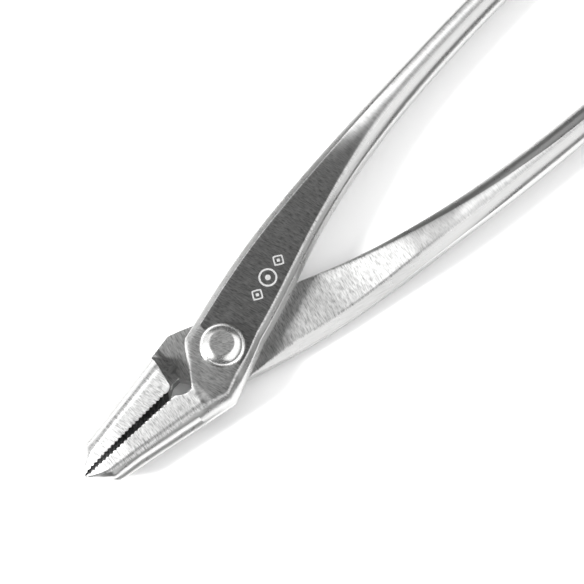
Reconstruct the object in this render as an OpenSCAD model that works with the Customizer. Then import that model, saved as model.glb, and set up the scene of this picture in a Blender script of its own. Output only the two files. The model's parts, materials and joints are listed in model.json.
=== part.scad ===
// Stainless steel wire pliers: two identical forged levers, half lapped at a riveted pivot.
// +X runs from the pivot to the handle ends, +Z up. The origin is on the pivot axis,
// on the flat face of the rear rivet head, which is the face the tool lies on.

/* [Jaws] */
// Pivot to jaw tip
jaw_len = 41; // [38:0.5:44]
// Width of one jaw across its shoulder
jaw_root_w = 10.3; // [9.5:0.1:10.8]
// Width of one jaw where the tip is cut off at an angle
jaw_nose_w = 5.6; // [5:0.1:6]
// Half the gap between the closed jaws, behind the tip
jaw_relief = 0.8; // [0.6:0.05:1.2]
// Half the gap left at the tip with the handles closed
tip_gap = 0.12; // [0.1:0.01:0.3]
// Half the thickness of the jaws at the tip
tip_half_t = 2.3; // [2:0.1:3]
// Distance between two gripping teeth
tooth_pitch = 1.05; // [0.9:0.05:1.4]
// Depth of the gripping teeth
tooth_depth = 0.3; // [0.2:0.05:0.4]

/* [Lap joint] */
// Half the thickness of the tool at the joint, which is the thickness of one lap plate
half_t = 4.5; // [4:0.1:5]
// Half the width of a lap plate at the pivot
plate_half_w = 7.6; // [7.2:0.1:8]
// Running gap between the two lap faces
lap_gap = 0.1; // [0.06:0.02:0.2]
// Angle of each handle to the tool's centre line at the pivot
splay = 15.9; // [15:0.1:17]

/* [Handles] */
// Pivot to handle end
handle_len = 164; // [150:1:180]
// Half the width of the handle rod
rod_half_w = 3.4; // [3.2:0.1:4]
// Half the height of the handle rod
rod_half_h = 3.5; // [3.2:0.1:4]
// Where the straight part of the handle ends and its first bend starts
bend_start = 20; // [16:1:24]
// Angle of the handle to the centre line after the first bend
mid_splay = 5.5; // [4:0.5:7]
// Where the first bend ends
bend_end = 75; // [68:1:80]
// Angle at the end of the handle, negative where the handles turn inward
end_splay = -4; // [-6:0.5:0]

/* [Rivet] */
// Radius of the rivet shank
shank_r = 3; // [2.5:0.1:3.2]
// Radial running clearance of the shank in the upper lever
shank_clear = 0.05; // [0.02:0.01:0.1]
// Radius of the domed front head
head_r = 5; // [4.6:0.1:5.2]
// Height of the domed front head
head_h = 2.7; // [2.2:0.1:3]
// Radius of the flat ground on top of the front head
head_flat_r = 2.7; // [2.2:0.1:3]
// Height of the low rear head
rear_h = 1.2; // [0.8:0.1:1.6]

/* [Hidden] */
steel = [0.72, 0.72, 0.71];
bright_steel = [0.82, 0.82, 0.81];

z_lap = rear_h + half_t;         // height of the plane where the levers meet
cut = 20;                        // how far a cutting solid runs past what it cuts
nose_x = -jaw_len + 4.5;         // where the angled cut at the tip starts
heel = [-6.6, -jaw_root_w - 0.6]; // corner where the jaw's outer edge meets the plate
waist = 7.5;                     // where the edge from the heel joins the handle's own edge
front_low = [-11.3, -2.1];       // front edge of the plate, at the jaw root
front_high = [-5.9, 5.8];        // front edge of the plate, at its free corner
corner_end = -4;                 // where the rounding of that corner ends
shoulder = [[-14.4, -1.4], [-12.3, -10.3]];
lap_end = 24;                    // where the lap recess starts to run out to the handle
rod_start = 58;                  // where the handle reaches its full height
tail_round = 3;                  // length of the rounded handle end
side_pts = 2;                    // points along each of the eight sides of a section

function smooth(t) = let(u = min(1, max(0, t))) u * u * (3 - 2 * u);
function mix(a, b, t) = a + (b - a) * t;
function line_at(x, p, q) = mix(p[1], q[1], (x - p[0]) / (q[0] - p[0]));

// Rise of an arc that starts at x = a with slope angle s and ends at x = b with slope angle e
function arc_rise(x, a, b, s, e) =
    let(t = min(1, max(0, (x - a) / (b - a))), mean = s + (e - s) * t / 2)
    t * (b - a) * tan(mean);

// The handle's centre line: straight, then a firm bend, then a long slow bend
function centre_y(x) =
    0.45 + min(x, bend_start) * tan(splay)
    + arc_rise(x, bend_start, bend_end, splay, mid_splay)
    + arc_rise(x, bend_end, handle_len, mid_splay, end_splay);

function half_w(x) = rod_half_w + (plate_half_w - rod_half_w) / (1 + pow(max(0, x) / 36, 3));
function tail(x) = let(t = max(0, (x - handle_len + tail_round) / tail_round)) sqrt(max(0.02, 1 - t * t));

// Edge of the lever on the jaw's outer side, which becomes the handle's inner side
function low_y(x) =
    x < nose_x ? mix(-tip_gap - 0.4, -jaw_nose_w, pow((x + jaw_len) / (nose_x + jaw_len), 0.85))
    : x < heel[0] ? line_at(x, [nose_x, -jaw_nose_w], heel)
    : x < waist ? mix(heel[1], centre_y(waist) - half_w(waist) / cos(splay),
                      pow((x - heel[0]) / (waist - heel[0]), 1.1))
    : centre_y(x) - half_w(x) * tail(x) / cos(splay * (1 - smooth(x / bend_end)));

// Edge of the lever on the gripping side, which becomes the handle's outer side
function high_y(x) =
    x < -15.6 ? -mix(tip_gap, jaw_relief, pow((x + jaw_len) / (jaw_len - 15.6), 0.6))
    : x < front_low[0] ? -mix(jaw_relief, -front_low[1], smooth((x + 15.6) / 2.8))
    : x < front_high[0] ? line_at(x, front_low, front_high)
    : x < corner_end ? mix(front_high[1], centre_y(corner_end) + half_w(corner_end) / cos(splay),
                           sin(90 * (x - front_high[0]) / (corner_end - front_high[0])))
    : centre_y(x) + half_w(x) * tail(x) / cos(splay * (1 - smooth(x / bend_end)));

function top_z(x) =
    x < -11 ? lookup(x, [[-jaw_len, tip_half_t], [nose_x, 3.1], [-30, 3.7], [-11, half_t]])
    : mix(half_t, rod_half_h, smooth((x - 28) / 42)) * tail(x);
function bottom_z(x) =
    x < -12 ? -top_z(x)
    : x < lap_end ? mix(-half_t, -1, smooth((x + 12) / 3))
    : mix(-1, -rod_half_h, smooth((x - lap_end) / (rod_start - lap_end))) * tail(x);

// Width in plan of the bevel along the low edge, and along the high edge
function low_bevel(x) =
    lookup(x, [[-jaw_len, 0.15], [nose_x, 2.2], [-30, 2], [-13, 2.6], [-6, 2], [-2, 2.3], [3, 1.8]]);
function high_bevel(x) = lookup(x, [[-16, 0.05], [-11, 0.3], [-5, 1.2], [0, 1.4]]);
function low_bevel_h(x) = lookup(x, [[-jaw_len, 0.5], [nose_x, 1.35], [-13, 1.8], [-4, 1.6], [5, 1.1]]);
function high_bevel_h(x) = lookup(x, [[-16, 0.05], [-11, 0.3], [-5, 0.9], [0, 1.1]]);

// Facet under the high edge, which opens out where the handle leaves the lap
function under_bevel(x) = lookup(x, [[-16, 0.05], [0, 0.1], [6, 1.3], [14, 2.6], [30, 2.4]]);
function under_bevel_h(x) = lookup(x, [[-16, 0.05], [0, 0.1], [6, 0.7], [14, 1.4], [37, 1.2]]);

// Under side of the lever from the lap face to the rod, a smooth run-out
function run_out_z(x) =
    x < shoulder[0][0] || x > rod_start ? -cut
    : mix(lap_gap / 2, -rod_half_h - 0.4, smooth((x - lap_end) / (rod_start - lap_end)));

// Corners of a section: eight of them, from the low edge over the top to the low edge again
function corners(x) =
    let(l = low_y(x), h = high_y(x), t = top_z(x), b = bottom_z(x), k = tail(x))
    let(bl = low_bevel(x) * k, bh = high_bevel(x) * k, zl = low_bevel_h(x) * k, zh = high_bevel_h(x) * k)
    let(under = x < -11 || x > lap_end ? 1 : 0.1)
    let(uw = under_bevel(x) * k, uh = under_bevel_h(x) * k, grow = 1 + max(0, run_out_z(x) - b) / uh)
    [[l, t - zl], [l + bl, t], [h - bh, t], [h, t - zh],
     [h, b + uh * grow], [h - uw * grow, b], [l + bl * under, b], [l, b + zl * under]];

// A section point, drawn from the beveled block towards an ellipse as the rod becomes round
function section(x) =
    let(c = corners(x), y0 = (low_y(x) + high_y(x)) / 2, z0 = (top_z(x) + bottom_z(x)) / 2)
    let(ry = (high_y(x) - low_y(x)) / 2, rz = (top_z(x) - bottom_z(x)) / 2, f = smooth((x - 35) / 45))
    [for (i = [0:7], j = [0:side_pts - 1])
        let(p = mix(c[i], c[(i + 1) % 8], j / side_pts), a = atan2((p[1] - z0) / rz, (p[0] - y0) / ry))
        let(e = [y0 + ry * cos(a), z0 + rz * sin(a)])
        [x, mix(p[0], e[0], f), mix(p[1], e[1], f)]];

stations = concat(
    [for (i = [0:5]) mix(-jaw_len, nose_x, i / 5)],
    [-33, -30, -26, -22, -18, -15.6, -14.7, -13.8, -12.8, -12, front_low[0], -10, -9, -7.7, heel[0]],
    [front_high[0], -5.3, -4.7, corner_end, -2, 0, 2, 5, waist, 11, 14],
    [for (x = [18:4:handle_len - tail_round - 1]) x],
    [for (i = [0:5]) handle_len - tail_round * (1 - sin(18 * i))]);

// A closed solid through one section at each station
module loft(xs) {
    rings = [for (x = xs) section(x)];
    n = len(rings[0]);
    last = len(xs) - 1;
    sides = [for (r = [0:last - 1], i = [0:n - 1])
        [r * n + i, r * n + (i + 1) % n, (r + 1) * n + (i + 1) % n, (r + 1) * n + i]];
    caps = [[for (i = [n - 1:-1:0]) i], [for (i = [0:n - 1]) last * n + i]];
    polyhedron(points = [for (ring = rings, p = ring) p], faces = concat(sides, caps), convexity = 8);
}

// What is cut from under the plate, so that the other lever fits there
module lap_recess() {
    along = (shoulder[0] - shoulder[1]) / norm(shoulder[0] - shoulder[1]);
    intersection() {
        rotate([90, 0, 0])
            linear_extrude(height = 4 * cut, center = true)
                polygon(concat([[-cut, -cut], [-cut, lap_gap / 2]],
                    [for (i = [0:16]) let(x = mix(lap_end, rod_start, i / 16)) [x, run_out_z(x)]],
                    [[rod_start, -cut]]));
        translate([0, 0, -cut])
            linear_extrude(height = 2 * cut)
                polygon([shoulder[0] + along * cut, shoulder[1] - along * cut,
                         [4 * cut, -2 * cut], [4 * cut, 2 * cut]]);
    }
}

// The row of upright grooves that leaves the gripping teeth
module teeth_grooves() {
    for (x = [-jaw_len + 1.2:tooth_pitch:-16.2])
        translate([x, high_y(x), -cut])
            linear_extrude(height = 2 * cut)
                polygon([[-tooth_pitch * 0.45, 0.1], [0, -tooth_depth], [tooth_pitch * 0.45, 0.1]]);
}

// One lever with its lap face on z = 0
module lever(bore_r) {
    difference() {
        loft(stations);
        lap_recess();
        teeth_grooves();
        translate([0, 0, -cut])
            cylinder(h = 2 * cut, r = bore_r, $fn = 64);
    }
}

module upper_lever() {
    color(steel)
        translate([0, 0, z_lap])
            lever(shank_r + shank_clear);
}

// The same forging, turned over about the tool's centre line
module lower_lever() {
    color(steel)
        translate([0, 0, z_lap])
            rotate([180, 0, 0])
                lever(shank_r);
}

// A headed pin with a low rear head, and a domed front head with a flat ground on its top
module pivot_rivet() {
    seat = z_lap + half_t + lap_gap / 2;
    rim_h = 0.4;
    chamfer = 0.5;
    dome_w = head_r - head_flat_r;
    dome_end = 65;               // the dome stops short of its crown, so the flat has a crisp edge
    color(bright_steel)
        rotate_extrude($fn = 96)
            polygon(concat(
                [[0, 0], [head_r - chamfer, 0], [head_r, chamfer], [head_r, rear_h]],
                [[shank_r, rear_h], [shank_r, seat], [head_r, seat]],
                [for (a = [0:dome_end / 8:dome_end])
                    [head_flat_r + dome_w * (cos(a) - cos(dome_end)) / (1 - cos(dome_end)),
                     seat + rim_h + (head_h - rim_h) * sin(a) / sin(dome_end)]],
                [[0, seat + head_h]]));
}

upper_lever();
lower_lever();
pivot_rivet();
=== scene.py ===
import json
import math

import bpy
import numpy as np
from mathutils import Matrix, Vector


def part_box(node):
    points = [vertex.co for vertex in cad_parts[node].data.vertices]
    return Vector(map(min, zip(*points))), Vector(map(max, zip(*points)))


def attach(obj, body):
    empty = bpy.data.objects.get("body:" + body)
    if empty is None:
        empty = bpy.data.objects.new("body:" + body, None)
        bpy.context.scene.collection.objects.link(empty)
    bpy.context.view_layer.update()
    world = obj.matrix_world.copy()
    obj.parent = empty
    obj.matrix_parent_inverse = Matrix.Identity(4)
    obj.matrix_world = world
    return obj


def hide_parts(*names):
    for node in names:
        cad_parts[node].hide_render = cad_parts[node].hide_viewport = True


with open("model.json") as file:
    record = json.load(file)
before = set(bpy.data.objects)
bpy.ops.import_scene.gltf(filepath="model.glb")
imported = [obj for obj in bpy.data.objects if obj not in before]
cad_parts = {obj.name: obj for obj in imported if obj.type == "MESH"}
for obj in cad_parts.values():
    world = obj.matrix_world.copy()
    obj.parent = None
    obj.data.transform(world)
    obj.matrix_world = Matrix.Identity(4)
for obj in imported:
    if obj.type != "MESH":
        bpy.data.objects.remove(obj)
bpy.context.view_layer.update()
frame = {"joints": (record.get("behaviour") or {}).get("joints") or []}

# Stainless steel wire pliers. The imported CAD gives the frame: +X from the pivot to the handle
# ends, +Z up, the origin on the pivot axis at the rest plane. The shape functions below are in
# millimetres and follow the CAD's own formulas; every mesh is scaled to metres at the end.
MM = 0.001

# ---------------------------------------------------------------- sizes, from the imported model
RIVET_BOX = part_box("pivot_rivet")
LEVER_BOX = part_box("upper_lever")
PIVOT_Z = frame["joints"][0]["pos_m"][2] / MM        # the plane where the two levers meet
JAW_LEN = -LEVER_BOX[0].x / MM
HANDLE_LEN = LEVER_BOX[1].x / MM
HALF_T = LEVER_BOX[1].z / MM - PIVOT_Z
HEAD_R = RIVET_BOX[1].x / MM
RIVET_TOP = RIVET_BOX[1].z / MM

JAW_ROOT_W = 10.3
JAW_NOSE_W = 5.6
JAW_RELIEF = 0.8
TIP_GAP = 0.12
TIP_HALF_T = 2.3
TOOTH_PITCH = 1.05
TOOTH_DEPTH = 0.3
PLATE_HALF_W = 7.6
LAP_GAP = 0.1
SPLAY = 15.9
ROD_HALF_W = 3.4
ROD_HALF_H = 3.5
BEND_START = 20.0
MID_SPLAY = 5.5
BEND_END = 75.0
END_SPLAY = -4.0
SHANK_R = 3.0
SHANK_CLEAR = 0.05
HEAD_H = 2.7
HEAD_FLAT_R = 2.7
REAR_H = PIVOT_Z - HALF_T

NOSE_X = -JAW_LEN + 4.5
HEEL = (-6.6, -JAW_ROOT_W - 0.6)
WAIST = 7.5
FRONT_LOW = (-11.3, -2.1)
FRONT_HIGH = (-5.9, 5.8)
CORNER_END = -4.0
SHOULDER_X = -14.4                                   # where the jaw's shoulder meets the grip side
SHOULDER_SLANT = -0.236                              # how far it leans along X for each mm of Y
LAP_END = 24.0
ROD_START = 58.0
TAIL_ROUND = 3.0


def smooth(t):
    u = np.clip(t, 0, 1)
    return u * u * (3 - 2 * u)


def mix(a, b, t):
    return a + (b - a) * t


def table(x, *points):
    """A value that runs straight from point to point along X."""
    xs, ys = zip(*points)
    return np.interp(x, xs, ys)


# ---------------------------------------------------------------- the lever's outline and section
def arc_rise(x, a, b, start, end):
    t = np.clip((x - a) / (b - a), 0, 1)
    return t * (b - a) * np.tan(np.radians(start + (end - start) * t / 2))


def centre_y(x):
    return (0.45 + np.minimum(x, BEND_START) * math.tan(math.radians(SPLAY))
            + arc_rise(x, BEND_START, BEND_END, SPLAY, MID_SPLAY)
            + arc_rise(x, BEND_END, HANDLE_LEN, MID_SPLAY, END_SPLAY))


def half_w(x):
    return ROD_HALF_W + (PLATE_HALF_W - ROD_HALF_W) / (1 + (np.maximum(0, x) / 36) ** 3)


def tail(x):
    t = max(0.0, (x - HANDLE_LEN + TAIL_ROUND) / TAIL_ROUND)
    return math.sqrt(max(0.02, 1 - t * t))


def side_scale(x):
    return 1 / math.cos(math.radians(SPLAY * (1 - float(smooth(x / BEND_END)))))


def low_y(x):
    """Edge on the jaw's outer side, which becomes the handle's inner side."""
    join = centre_y(WAIST) - half_w(WAIST) / math.cos(math.radians(SPLAY))
    if x < NOSE_X:
        return mix(-TIP_GAP - 0.4, -JAW_NOSE_W, max(0.0, (x + JAW_LEN) / (NOSE_X + JAW_LEN)) ** 0.85)
    if x < HEEL[0]:
        return mix(-JAW_NOSE_W, HEEL[1], (x - NOSE_X) / (HEEL[0] - NOSE_X))
    if x < WAIST:
        return mix(HEEL[1], join, ((x - HEEL[0]) / (WAIST - HEEL[0])) ** 1.1)
    return centre_y(x) - half_w(x) * tail(x) * side_scale(x)


def high_y(x):
    """Edge on the gripping side, which becomes the handle's outer side."""
    if x < -15.6:
        return -mix(TIP_GAP, JAW_RELIEF, (max(0.0, x + JAW_LEN) / (JAW_LEN - 15.6)) ** 0.6)
    if x < FRONT_LOW[0]:
        return -mix(JAW_RELIEF, -FRONT_LOW[1], float(smooth((x + 15.6) / 2.8)))
    if x < FRONT_HIGH[0]:
        return mix(FRONT_LOW[1], FRONT_HIGH[1], (x - FRONT_LOW[0]) / (FRONT_HIGH[0] - FRONT_LOW[0]))
    if x < CORNER_END:
        end = centre_y(CORNER_END) + half_w(CORNER_END) / math.cos(math.radians(SPLAY))
        turn = math.pi / 2 * (x - FRONT_HIGH[0]) / (CORNER_END - FRONT_HIGH[0])
        return mix(FRONT_HIGH[1], end, math.sin(turn))
    return centre_y(x) + half_w(x) * tail(x) * side_scale(x)


FIRST_TOOTH = -JAW_LEN + 1.2
LAST_TOOTH = -16.2
TOOTH_CENTRES = np.arange(FIRST_TOOTH, LAST_TOOTH + 0.01, TOOTH_PITCH)
TOOTH_HALF_W = 0.4


def tooth_cut(x):
    """Depth of the tooth groove at x."""
    gap = float(np.abs(TOOTH_CENTRES - x).min())
    return TOOTH_DEPTH * max(0.0, 1 - gap / TOOTH_HALF_W)


def plate_front(y):
    """Where the flat of the plate ends and the jaw starts to slope down, as ground by hand."""
    return table(y, (-11.5, -4.0), (-9.4, -6.6), (-8.4, -9.6), (-7.2, -11.2), (-5.8, -11.9),
                 (-3.8, -11.4), (-1.9, -10.6), (6.0, -10.6))


def top_z(x, y):
    """Height of the top face over the lap plane."""
    if x > -4:
        return mix(HALF_T, ROD_HALF_H, smooth((x - 28) / 42)) * tail(x) + 0 * y
    edge = plate_front(y)
    slope_z = table(x, (-JAW_LEN, TIP_HALF_T), (NOSE_X, 3.1), (-30.0, 3.7), (-11.0, HALF_T - 0.02),
                    (-4.0, HALF_T - 0.1))
    return mix(HALF_T, slope_z, smooth((edge + 0.25 - x) / 0.7))


def bottom_z(x, jaw_side):
    """Height of the under side: the jaw is full height, the plate ends at the lap face."""
    if jaw_side:
        return -float(top_z(x, np.float64(-6.0)))
    block = mix(-1, -ROD_HALF_H, float(smooth((x - LAP_END) / (ROD_START - LAP_END)))) * tail(x)
    run_out = -99.0 if x > ROD_START else mix(
        LAP_GAP / 2, -ROD_HALF_H - 0.4, float(smooth((x - LAP_END) / (ROD_START - LAP_END))))
    return max(block, run_out)


def low_lean(x):
    """How far the low side leans in above its widest part: the jaw's outer side is well rounded."""
    return float(table(x, (-JAW_LEN, .05), (NOSE_X, .7), (-30, 1.0), (-10, 1.1), (-5, .7), (20, .6),
                       (60, .3)))


def fullness(x, jaw_side):
    """1 where the low side's wall leans and bulges fully, falling to 0 on the thin plate."""
    return 1.0 if jaw_side else float(smooth((x - LAP_END) / 20))


def section_corners(x, jaw_side):
    """Eight corners of the section at x as (y, z), with the rounding at each."""
    low = low_y(x)
    high = high_y(x) - tooth_cut(x)
    k = tail(x)
    top = float(top_z(x, np.float64((low + high) / 2))) if x > -4 else None
    t_low = float(top_z(x, np.float64(low + 1))) if top is None else top
    t_high = float(top_z(x, np.float64(high - 0.5))) if top is None else top
    base = bottom_z(x, jaw_side)
    lb = table(x, (-JAW_LEN, .15), (NOSE_X, 2.2), (-30, 2), (-13, 2.6), (-6, 2), (-2, 2.3), (3, 1.8),
               (40, 1.9), (51, 2.3), (62, 3.0), (74, 3.4), (84, 3.5)) * k
    under_lb = lb if jaw_side else table(x, (LAP_END, .15), (40, 1.0), (55, 2.0), (70, 3.0),
                                         (84, 3.6)) * k
    lean = low_lean(x) * k
    hb = table(x, (-16, .05), (-11, .3), (-5, 1.2), (0, 1.4), (62, 1.5), (84, 1.5)) * k
    lh = table(x, (-JAW_LEN, .5), (NOSE_X, 1.35), (-13, 1.8), (-4, 1.6), (5, 1.1), (45, 1.2),
               (70, 1.9)) * k
    under_lh = lh if jaw_side else table(x, (LAP_END, .1), (40, .6), (60, 1.4), (80, 1.8)) * k
    hh = table(x, (-16, .05), (-11, .3), (-5, .9), (0, 1.1)) * k
    uw = table(x, (-16, .05), (0, .1), (6, 1.3), (14, 2.6), (30, 2.4),
               (50, 2.6), (62, 2.9), (75, 3.2)) * k
    uh = table(x, (-16, .05), (0, .1), (6, .7), (14, 1.4), (37, 1.2)) * k
    under_lean = lean * fullness(x, jaw_side)
    corners = [(low + lean, t_low - lh), (low + lb + lean / 2, t_low),
               (high - hb, t_high), (high, t_high - hh),
               (high, base + uh), (high - uw, base),
               (low + under_lb + under_lean / 2, base), (low + under_lean, base + under_lh)]
    outer = table(x, (-JAW_LEN, .25), (-30, 1.5), (-12, 1.6), (2, .3), (60, .5))
    inner = table(x, (-JAW_LEN, .2), (-30, .8), (-12, .8), (2, .25), (60, .5))
    facet = table(x, (4, .16), (14, .4))
    rounding = [outer, inner, 0.16, 0.18, 0.14, facet] + ([inner, outer] if jaw_side else [0.25, 0.25])
    return np.array(corners), rounding


JAW_HEADING = -8.5                                   # the jaw's own direction, for its brushing
PLATE_BULGE = 0.25                                   # how much of the wall's bulge the plate has
CORNER_PTS = 4
SIDE_PTS = [3, 11, 2, 4, 2, 9, 2, 4]                 # inner points on the side after each corner


def section(x, jaw_side):
    """The ring of (y, z) points at x: rounded corners joined by divided sides, with the low side's
    wall bulged and, along the handle, everything drawn towards an oval."""
    corners, rounding = section_corners(x, jaw_side)
    ends = []
    for i, p in enumerate(corners):
        a, c = corners[i - 1], corners[(i + 1) % 8]
        la, lc = np.linalg.norm(a - p), np.linalg.norm(c - p)
        reach = min(rounding[i], 0.42 * la, 0.42 * lc)
        ends.append((p + (a - p) * reach / max(la, 1e-9), p, p + (c - p) * reach / max(lc, 1e-9)))
    ring = []
    for i in range(8):
        start, p, end = ends[i]
        for t in np.linspace(0, 1, CORNER_PTS):
            ring.append(start * (1 - t) ** 2 + p * 2 * t * (1 - t) + end * t * t)
        following = ends[(i + 1) % 8][0]
        for j in range(SIDE_PTS[i]):
            ring.append(mix(end, following, (j + 1) / (SIDE_PTS[i] + 1)))
    ring = np.array(ring)
    wall = slice(len(ring) - SIDE_PTS[7], len(ring))
    s = np.linspace(0, 1, SIDE_PTS[7] + 2)[1:-1]
    bulge = mix(PLATE_BULGE, 1.0, fullness(x, jaw_side))
    belly = low_lean(x) * tail(x) * (1 - (2 * s - 1) ** 2) * bulge
    ring[wall, 0] -= belly
    if x <= -4:
        first, last = CORNER_PTS + SIDE_PTS[0], 2 * CORNER_PTS + SIDE_PTS[0] + SIDE_PTS[1]
        flat = slice(first + CORNER_PTS, last)
        ring[flat, 1] = top_z(x, ring[flat, 0])
    low, high = low_y(x), high_y(x)
    base = bottom_z(x, jaw_side)
    top = float(corners[1][1])
    y0, z0, ry, rz = (low + high) / 2, (top + base) / 2, (high - low) / 2, (top - base) / 2
    f = float(smooth((x - 35) / 45))
    if f > 0:
        a = np.arctan2((ring[:, 1] - z0) / rz, (ring[:, 0] - y0) / ry)
        oval = np.stack([y0 + ry * np.cos(a), z0 + rz * np.sin(a)], 1)
        ring = mix(ring, oval, f)
    return ring


def stations():
    """(x, on the jaw's side of the shoulder) for each ring, tip to handle end."""
    jaw = list(np.linspace(-JAW_LEN, FIRST_TOOTH - TOOTH_HALF_W - 0.1, 4))
    for c in TOOTH_CENTRES:
        jaw += [c - TOOTH_HALF_W, c, c + TOOTH_HALF_W]
    jaw += list(np.arange(LAST_TOOTH + 0.6, SHOULDER_X - 0.1, 0.3)) + [SHOULDER_X]
    plate = [SHOULDER_X + 0.02] + list(np.arange(SHOULDER_X + 0.3, 6, 0.35))
    plate += list(np.arange(6, LAP_END, 0.8)) + list(np.arange(LAP_END, ROD_START, 1.2))
    rod = list(np.arange(ROD_START, HANDLE_LEN - TAIL_ROUND - 1, 2.2))
    rod += [HANDLE_LEN - TAIL_ROUND * (1 - math.sin(math.radians(a))) for a in range(0, 91, 9)]
    return [(x, True) for x in sorted(set(jaw))] + [(x, False) for x in plate + rod]


def lever_points():
    """Rings of the lever with its lap face on z = 0, as an array of rings x points x 3."""
    rings = []
    for x, jaw_side in stations():
        ring = section(x, jaw_side)
        near = float(smooth((x + 18.5) / 4)) * float(smooth((-7.5 - x) / 4))
        under = smooth((HALF_T * 0.4 - ring[:, 1]) / (HALF_T * 0.4))
        lean = SHOULDER_SLANT * (ring[:, 0] - high_y(x)) * near * under
        y = ring[:, 0].copy()
        for i in np.nonzero(lean > 0.01)[0]:
            moved_low, moved_high = low_y(x + lean[i]), high_y(x)
            share = (y[i] - high_y(x)) / (low_y(x) - high_y(x))
            y[i] = mix(moved_high, moved_low, share)
        rings.append(np.stack([x + lean, y, ring[:, 1]], 1))
    return np.array(rings)


# ---------------------------------------------------------------- meshes
def make_object(name, verts, faces):
    mesh = bpy.data.meshes.new(name)
    mesh.from_pydata([tuple(v) for v in verts], [], faces)
    mesh.validate()
    mesh.update()
    obj = bpy.data.objects.new(name, mesh)
    bpy.context.scene.collection.objects.link(obj)
    return obj


def shade(obj, angle=28):
    obj.data.polygons.foreach_set("use_smooth", [True] * len(obj.data.polygons))
    obj.data.set_sharp_from_angle(angle=math.radians(angle))


def loft_faces(count, size):
    faces = []
    for r in range(count - 1):
        a, b = r * size, (r + 1) * size
        faces += [[a + i, a + (i + 1) % size, b + (i + 1) % size, b + i] for i in range(size)]
    faces.append(list(range(size - 1, -1, -1)))
    faces.append([(count - 1) * size + i for i in range(size)])
    return faces


def brush_map(obj, turned):
    """A UV map of where each point is along and across its lever in millimetres, for the brushing,
    and an attribute for the painted highlight: 0.85 on the jaw, 1 far along the handle and low on the
    plate, where the steel's colour is painted lighter for the key light these faces catch. A "worn"
    attribute is 1 where hands have worn the scratches of the handle fainter."""
    mesh = obj.data
    co = np.array([v.co for v in mesh.vertices]) / MM
    co[:, 2] -= PIVOT_Z
    if turned:
        co[:, 1:] *= -1
    x, y, z = co.T
    xs = np.linspace(-10, HANDLE_LEN, 400)
    heading = np.degrees(np.arctan(np.gradient(centre_y(xs), xs)))
    xs = np.concatenate([[-16, -12], xs])
    heading = np.concatenate([[JAW_HEADING, JAW_HEADING], heading])
    angle = np.interp(x, xs, heading)
    c, s = np.cos(np.radians(angle)), np.sin(np.radians(angle))
    mid = np.where(x < 0, 0, centre_y(np.maximum(x, 0)))
    along, across = x + (y - mid) * s, (y - mid) * c
    uv = mesh.uv_layers.new(name="brush")
    loops = np.array([l.vertex_index for l in mesh.loops])
    uv.data.foreach_set("uv", np.stack([along[loops], across[loops] + z[loops] * 0.7], 1).ravel())
    # painted highlight: a mask of where the steel's base colour is painted lighter for the key light,
    # on the jaws, the far handle and the lower lever's plate
    painted_highlight = mesh.attributes.new("painted_highlight", "FLOAT", "POINT")
    edge = plate_front(y) if not turned else SHOULDER_X + 0.5 + 0 * y
    value = 0.85 * smooth((edge + 0.4 - x) / 0.9)
    front = smooth((x - 51 + 1.9 * across) / 10)
    value += np.maximum(front, 0.35 * smooth((x - 4) / 12)) if turned else front
    painted_highlight.data.foreach_set("value", value.astype(np.float32))
    worn = mesh.attributes.new("worn", "FLOAT", "POINT")
    worn.data.foreach_set("value", smooth((x - 38) / 20).astype(np.float32))


def bore(obj, radius):
    """Cuts the rivet's hole through a lever."""
    bpy.ops.mesh.primitive_cylinder_add(vertices=64, radius=radius * MM, depth=50 * MM,
                                        location=(0, 0, PIVOT_Z * MM))
    cutter = bpy.context.object
    cut = obj.modifiers.new("bore", "BOOLEAN")
    cut.object, cut.operation, cut.solver = cutter, "DIFFERENCE", "EXACT"
    graph = bpy.context.evaluated_depsgraph_get()
    mesh = bpy.data.meshes.new_from_object(obj.evaluated_get(graph))
    obj.modifiers.clear()
    obj.data = mesh
    bpy.data.objects.remove(cutter)


def make_lever(name, turned, radius, finishes):
    points = lever_points()
    count, size = points.shape[:2]
    verts = points.reshape(-1, 3)
    if turned:
        verts = verts * (1, -1, -1)
    faces = [f[::-1] for f in loft_faces(count, size)]
    obj = make_object(name, (verts + (0, 0, PIVOT_Z)) * MM, faces)
    set_finishes(obj, count, size, finishes)
    bore(obj, radius)
    brush_map(obj, turned)
    shade(obj)
    return obj


def set_finishes(obj, count, size, finishes):
    """Gives each face of the loft the finish of its side: the ground flats, the jaw's gripping root and
    its teeth, both painted dark as painted shade in the gap between the jaws, and polished everywhere
    else."""
    order = ["ground", "polished", "root_shade", "teeth"]
    for finish in order:
        obj.data.materials.append(finishes[finish])
    starts = np.cumsum([0] + [CORNER_PTS + n for n in SIDE_PTS])
    side = np.searchsorted(starts, np.arange(size), side="right") - 1
    within = np.arange(size) - starts[side]
    on_flat = np.isin(side, (1, 5)) | (np.isin(side, (2, 6)) & (within < CORNER_PTS - 1))
    on_grip = (side == 3) | ((side == 2) & (within >= CORNER_PTS - 1))
    on_grip |= (side == 4) & (within < CORNER_PTS)
    xs = [x for x, jaw_side in stations()]
    index = []
    for ring in range(count - 1):
        x = (xs[ring] + xs[ring + 1]) / 2
        for i in range(size):
            if on_flat[i]:
                index.append(0)
            elif on_grip[i] and x < FRONT_LOW[0]:
                # painted shade: the gripping face in the gap between the jaws gets a near-black finish
                # on the teeth and a dark one on the root behind them
                index.append(3 if x < LAST_TOOTH + 0.6 else 2)
            else:
                index.append(1)
    obj.data.polygons.foreach_set("material_index", index + [1, 1])


# ---------------------------------------------------------------- the mark on the plate
# The place along X, the radius and the power of each motif's outline.
MARK_MOTIFS = [(13.2, 1.5, 1.15), (17.6, 2.1, 2.0), (22.0, 1.5, 1.15)]
MARK_SHIFT = -1.2                                    # off the plate's centre line
MARK_BAND = 0.42
MARK_DOT = 0.3                                       # of the motif's radius
MARK_RELIEF = 0.02


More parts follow.
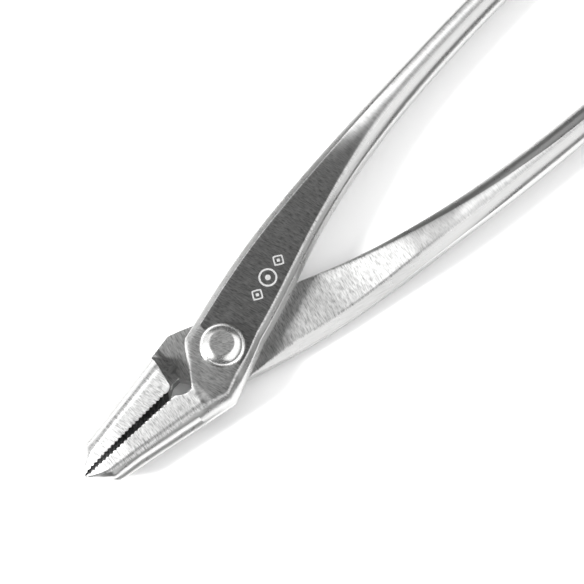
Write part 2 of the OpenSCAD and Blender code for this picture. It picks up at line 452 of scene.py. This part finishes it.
def mark_outline(x, radius, power, count=40):
    """A closed outline from a rounded diamond (power near 1) to a circle (power 2), on the plate."""
    a = np.arange(count) * 2 * math.pi / count
    c, d = np.cos(a), np.sin(a)
    reach = radius / (np.abs(c) ** power + np.abs(d) ** power) ** (1 / power)
    turn = math.radians(SPLAY)
    u, v = reach * c, reach * d + MARK_SHIFT
    return np.stack([x + u * math.cos(turn) - v * math.sin(turn),
                     float(centre_y(x)) + u * math.sin(turn) + v * math.cos(turn)], 1)


def make_mark(name, finish):
    """A plain ornament of two diamonds and a ring, each with a dot, etched as thin frosted bands."""
    verts, faces = [], []
    z_low, z_high = PIVOT_Z + HALF_T - MARK_RELIEF, PIVOT_Z + HALF_T + MARK_RELIEF

    def add_ring(points, z):
        first = len(verts)
        verts.extend((p[0] * MM, p[1] * MM, z * MM) for p in points)
        return list(range(first, len(verts)))

    for x, radius, power in MARK_MOTIFS:
        outer = mark_outline(x, radius, power)
        inner = mark_outline(x, radius - MARK_BAND, power)
        rings = [add_ring(outer, z_low), add_ring(outer, z_high),
                 add_ring(inner, z_high), add_ring(inner, z_low)]
        for a, b in zip(rings, rings[1:] + rings[:1]):
            faces += [[a[i - 1], a[i], b[i], b[i - 1]] for i in range(len(a))]
        dot = mark_outline(x, radius * MARK_DOT, power)
        low, high = add_ring(dot, z_low), add_ring(dot, z_high)
        faces += [[low[i - 1], low[i], high[i], high[i - 1]] for i in range(len(low))]
        faces += [low[::-1], high]
    obj = make_object(name, verts, faces)
    obj.data.materials.append(finish)
    uv = obj.data.uv_layers.new(name="brush")
    co = np.array([v.co for v in obj.data.vertices]) / MM
    loops = np.array([l.vertex_index for l in obj.data.loops])
    uv.data.foreach_set("uv", co[loops, :2].ravel())
    shade(obj)
    return obj


# ---------------------------------------------------------------- the rivet
RIVET_GRIND = 52                                     # degrees from +X to the flat's grinding lines


def rivet_profile():
    """(radius, z) from the rear centre to the front centre."""
    seat = PIVOT_Z + HALF_T + LAP_GAP / 2
    rim, dome_r, chamfer = 0.4, HEAD_R - HEAD_FLAT_R, 0.5
    line = [(0.0, 0.0), (HEAD_R - chamfer - 0.12, 0.0), (HEAD_R - chamfer + 0.03, 0.03)]
    line += [(HEAD_R - 0.03, chamfer - 0.03), (HEAD_R, chamfer + 0.1), (HEAD_R, REAR_H)]
    line += [(SHANK_R, REAR_H), (SHANK_R, seat), (HEAD_R - 0.1, seat), (HEAD_R, seat + 0.1)]
    end = math.radians(65)
    for a in np.linspace(0, end, 18):
        line.append((HEAD_FLAT_R + dome_r * (math.cos(a) - math.cos(end)) / (1 - math.cos(end)),
                     seat + rim + (HEAD_H - rim) * math.sin(a) / math.sin(end)))
    line[-1] = (HEAD_FLAT_R + 0.05, RIVET_TOP - 0.02)
    line += [(HEAD_FLAT_R - 0.05, RIVET_TOP)]
    line += [(r, RIVET_TOP) for r in (1.9, 1.2, 0.6, 0.0)]
    return line


def make_rivet(name, polished, ground):
    line, spokes = rivet_profile(), 128
    verts, rows = [], []
    for r, z in line:
        if r == 0:
            rows.append([len(verts)] * spokes)
            verts.append((0, 0, z * MM))
        else:
            rows.append(list(range(len(verts), len(verts) + spokes)))
            for k in range(spokes):
                turn = 2 * math.pi * k / spokes
                verts.append((r * MM * math.cos(turn), r * MM * math.sin(turn), z * MM))
    faces = []
    for a, b in zip(rows, rows[1:]):
        for k in range(spokes):
            corner = [a[k], a[(k + 1) % spokes], b[(k + 1) % spokes], b[k]]
            faces.append([v for i, v in enumerate(corner) if v not in corner[:i]])
    obj = make_object(name, verts, faces)
    uv = obj.data.uv_layers.new(name="brush")
    co = np.array([v.co for v in obj.data.vertices]) / MM
    loops = np.array([l.vertex_index for l in obj.data.loops])
    turn = math.radians(RIVET_GRIND)
    u = co[:, 0] * math.cos(turn) + co[:, 1] * math.sin(turn)
    v = -co[:, 0] * math.sin(turn) + co[:, 1] * math.cos(turn)
    uv.data.foreach_set("uv", np.stack([u[loops], v[loops]], 1).ravel())
    obj.data.materials.append(polished)
    obj.data.materials.append(ground)
    for face in obj.data.polygons:
        flat_top = face.center.z > (RIVET_TOP - 0.02) * MM
        face.material_index = 1 if flat_top or face.center.z < 0.02 * MM else 0
    shade(obj, 40)
    return obj


# ---------------------------------------------------------------- materials
def steel(name, colour, roughness, anisotropy, grain, depth, contrast=0.12, wear=0.05, painted_highlight=None):
    """Brushed steel on the "brush" map. grain is how many scratches there are along and across the
    lever for each millimetre, depth their bump in millimetres, contrast how much darker they are, and
    wear how much rougher the worn specks are. The last argument is the painted highlight: the lighter
    colour and the roughness used where the painted-highlight attribute is 1."""
    mat = bpy.data.materials.new(name)
    mat.use_nodes = True
    nodes, links = mat.node_tree.nodes, mat.node_tree.links
    bsdf = nodes["Principled BSDF"]
    bsdf.inputs["Metallic"].default_value = 1.0
    bsdf.inputs["Anisotropic"].default_value = anisotropy
    tangent = nodes.new("ShaderNodeTangent")
    tangent.direction_type, tangent.uv_map = "UV_MAP", "brush"
    links.new(tangent.outputs["Tangent"], bsdf.inputs["Tangent"])
    uv = nodes.new("ShaderNodeUVMap")
    uv.uv_map = "brush"

    def noise(scale_u, scale_v, detail, rough=0.6):
        mapping = nodes.new("ShaderNodeMapping")
        mapping.inputs["Scale"].default_value = (scale_u, scale_v, 1)
        links.new(uv.outputs["UV"], mapping.inputs["Vector"])
        tex = nodes.new("ShaderNodeTexNoise")
        tex.inputs["Scale"].default_value = 1.0
        tex.inputs["Detail"].default_value = detail
        tex.inputs["Roughness"].default_value = rough
        links.new(mapping.outputs["Vector"], tex.inputs["Vector"])
        return tex.outputs["Fac"]

    def ranged(value, low, high, to_low, to_high):
        node = nodes.new("ShaderNodeMapRange")
        keys = ("From Min", "From Max", "To Min", "To Max")
        for key, number in zip(keys, (low, high, to_low, to_high)):
            node.inputs[key].default_value = number
        links.new(value, node.inputs["Value"])
        return node.outputs["Result"]

    def math_node(operation, a, b):
        node = nodes.new("ShaderNodeMath")
        node.operation = operation
        for socket, value in zip(node.inputs, (a, b)):
            if isinstance(value, (int, float)):
                socket.default_value = value
            else:
                links.new(value, socket)
        return node.outputs["Value"]

    def colour_mix(a, b, factor):
        node = nodes.new("ShaderNodeMix")
        node.data_type = "RGBA"
        for key, value in (("A", a), ("B", b)):
            if isinstance(value, tuple):
                node.inputs[key].default_value = (*value, 1)
            else:
                links.new(value, node.inputs[key])
        links.new(factor, node.inputs["Factor"])
        return node.outputs["Result"]

    scratches = noise(grain[0], grain[1], 4.0, 0.65)
    coarse = noise(grain[0] * 0.35, grain[1] * 0.5, 2.0)
    patches = noise(0.3, 0.3, 3.0)
    specks = noise(2.0, 2.6, 2.0)
    base = colour
    rough_mid = roughness
    # painted highlight: the base colour is blended towards a lighter one, and the roughness changed,
    # where the attribute is 1
    if painted_highlight is not None:
        amount = nodes.new("ShaderNodeAttribute")
        amount.attribute_name = "painted_highlight"
        base = colour_mix(colour, painted_highlight[0], amount.outputs["Fac"])
        rough_mid = ranged(amount.outputs["Fac"], 0, 1, roughness, painted_highlight[1])
    worn = nodes.new("ShaderNodeAttribute")
    worn.attribute_name = "worn"
    fainter = ranged(worn.outputs["Fac"], 0, 1, 1, 0.45)
    fine_lines = ranged(scratches, 0.54, 0.38, 0, contrast)
    coarse_lines = ranged(coarse, 0.6, 0.4, 0, contrast * 0.4)
    lines = math_node("ADD", fine_lines, coarse_lines)
    lines = math_node("MULTIPLY", lines, fainter)
    darker = colour_mix(base, (0.12, 0.12, 0.12), lines)
    glints = ranged(scratches, 0.6, 0.72, 0, contrast)
    links.new(colour_mix(darker, (0.97, 0.97, 0.965), glints), bsdf.inputs["Base Color"])
    rough = math_node("MULTIPLY", ranged(patches, 0.3, 0.7, 0.95, 1.05), rough_mid)
    rough = math_node("ADD", rough, ranged(specks, 0.62, 0.74, 0.0, wear))
    links.new(rough, bsdf.inputs["Roughness"])
    bump = nodes.new("ShaderNodeBump")
    bump.inputs["Strength"].default_value = 1.0
    bump.inputs["Distance"].default_value = depth * MM
    links.new(scratches, bump.inputs["Height"])
    links.new(bump.outputs["Normal"], bsdf.inputs["Normal"])
    return mat


def floor_material():
    mat = bpy.data.materials.new("floor_white")
    mat.use_nodes = True
    nodes, links = mat.node_tree.nodes, mat.node_tree.links
    bsdf = nodes["Principled BSDF"]
    bsdf.inputs["Roughness"].default_value = 0.7
    bsdf.inputs["Specular IOR Level"].default_value = 0.2
    tex = nodes.new("ShaderNodeTexNoise")
    tex.inputs["Scale"].default_value = 60
    ramp = nodes.new("ShaderNodeMix")
    ramp.data_type = "RGBA"
    ramp.inputs["A"].default_value = (0.90, 0.90, 0.90, 1)
    ramp.inputs["B"].default_value = (0.93, 0.93, 0.93, 1)
    links.new(tex.outputs["Fac"], ramp.inputs["Factor"])
    links.new(ramp.outputs["Result"], bsdf.inputs["Base Color"])
    return mat


# ---------------------------------------------------------------- the studio
CAM_ELEVATION = 74.8
CAM_TURN = -43.9
CAM_DISTANCE = 590.0
CAM_LENS = 164.0
CAM_TARGET = (20.3, -0.9, PIVOT_Z)
# The camera's right and up directions along the floor, used to place the lamps round the tool.
SCREEN_RIGHT = Vector((0.721, -0.693, 0))
SCREEN_UP = Vector((0.693, 0.721, 0))


def direction(turn, elevation):
    """Unit vector towards a lamp: turn is counted from the picture's right, anticlockwise."""
    t, e = math.radians(turn), math.radians(elevation)
    flat = SCREEN_RIGHT * math.cos(t) + SCREEN_UP * math.sin(t)
    return (flat * math.cos(e) + Vector((0, 0, math.sin(e)))).normalized()


def lamp(name, turn, elevation, distance, width, height, radiance):
    data = bpy.data.lights.new(name, "AREA")
    data.shape, data.size, data.size_y = "RECTANGLE", width, height
    data.energy = radiance * width * height * math.pi
    obj = bpy.data.objects.new(name, data)
    bpy.context.scene.collection.objects.link(obj)
    away = direction(turn, elevation)
    obj.location = Vector(CAM_TARGET) * MM + away * distance
    obj.rotation_mode = "QUATERNION"
    obj.rotation_quaternion = away.to_track_quat("Z", "Y")
    obj.visible_camera = False
    return obj


def build_studio():
    lamp("key", 197, 31, 1.6, 0.32, 0.32, 145)
    lamp("left_panel", 173, 32, 1.5, 2.5, 1.5, 0.82)
    lamp("right_panel", -12, 49, 1.5, 3.0, 1.4, 1.3)
    lamp("back_panel", 112, 46, 1.6, 1.3, 0.75, 0.33)
    fill = lamp("ceiling_fill", 90, 89, 1.8, 3.0, 3.0, 1.0)
    fill.visible_glossy = False
    world = bpy.data.worlds.new("studio")
    bpy.context.scene.world = world
    world.use_nodes = True
    nodes, links = world.node_tree.nodes, world.node_tree.links
    room = nodes["Background"]
    room.inputs["Color"].default_value = (0.12, 0.12, 0.12, 1)
    paper = nodes.new("ShaderNodeBackground")
    paper.inputs["Color"].default_value = (0.93, 0.93, 0.93, 1)
    path = nodes.new("ShaderNodeLightPath")
    pick = nodes.new("ShaderNodeMixShader")
    links.new(path.outputs["Is Camera Ray"], pick.inputs["Fac"])
    links.new(room.outputs["Background"], pick.inputs[1])
    links.new(paper.outputs["Background"], pick.inputs[2])
    links.new(pick.outputs["Shader"], nodes["World Output"].inputs["Surface"])


def build_floor():
    half = 3.0
    corners = [(-half, -half, 0), (half, -half, 0), (half, half, 0), (-half, half, 0)]
    floor = make_object("floor", corners, [[0, 1, 2, 3]])
    floor.data.materials.append(floor_material())


def build_camera():
    data = bpy.data.cameras.new("camera")
    data.lens, data.sensor_width = CAM_LENS, 36
    data.clip_start, data.clip_end = 0.01, 20
    cam = bpy.data.objects.new("camera", data)
    bpy.context.scene.collection.objects.link(cam)
    a, e = math.radians(CAM_TURN), math.radians(CAM_ELEVATION)
    back = Vector((math.sin(a) * math.cos(e), -math.cos(a) * math.cos(e), math.sin(e)))
    cam.location = Vector(CAM_TARGET) * MM + back * CAM_DISTANCE * MM
    cam.rotation_mode = "QUATERNION"
    cam.rotation_quaternion = (-back).to_track_quat("-Z", "Y")
    bpy.context.scene.camera = cam


# ---------------------------------------------------------------- the whole scene
finishes = {
    # the ground flats' lighter second colour is a painted highlight where the key light falls
    "ground": steel("steel_cross_ground", (0.62, 0.62, 0.615), 0.31, 0.8, (4.6, 0.65), 0.006, 0.5, 0.04,
                    painted_highlight=((0.84, 0.84, 0.835), 0.41)),
    "polished": steel("steel_polished", (0.61, 0.61, 0.605), 0.28, 0.0, (0.35, 5.0), 0.002, 0.14, 0.02),
    # painted shade: a dark colour on the jaw's gripping root, where shade falls between the jaws
    "root_shade": steel("steel_root_painted_shade", (0.30, 0.30, 0.295), 0.35, 0.0, (4.0, 4.0), 0.003, 0.2),
    # painted shade: a near-black colour on the teeth's gripping faces, where shade falls in the gap
    # between the jaws
    "teeth": steel("steel_teeth_painted_shade", (0.05, 0.05, 0.05), 0.5, 0.0, (3.0, 3.0), 0.006, 0.2),
}
upper = make_lever("lever_upper", False, SHANK_R + SHANK_CLEAR, finishes)
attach(upper, "upper")
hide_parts("upper_lever")

lower = make_lever("lever_lower", True, SHANK_R + 0.002, finishes)
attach(lower, "lower")
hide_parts("lower_lever")

rivet = make_rivet(
    "rivet",
    steel("steel_rivet_dome", (0.84, 0.84, 0.83), 0.26, 0.0, (5.0, 5.0), 0.002, 0.16),
    # painted highlight: the flat's base colour is set lighter than the levers' steel to stand in for
    # the key light it catches
    steel("steel_rivet_flat", (0.92, 0.92, 0.91), 0.42, 0.4, (6.0, 1.1), 0.01, 0.5),
)
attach(rivet, "lower")
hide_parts("pivot_rivet")

frosted = steel("steel_etched", (0.84, 0.84, 0.835), 0.6, 0.0, (3.0, 3.0), 0.004, 0.15)
mark = make_mark("etched_mark", frosted)
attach(mark, "upper")

build_floor()
build_studio()
build_camera()
bpy.context.scene.view_settings.view_transform = "Standard"
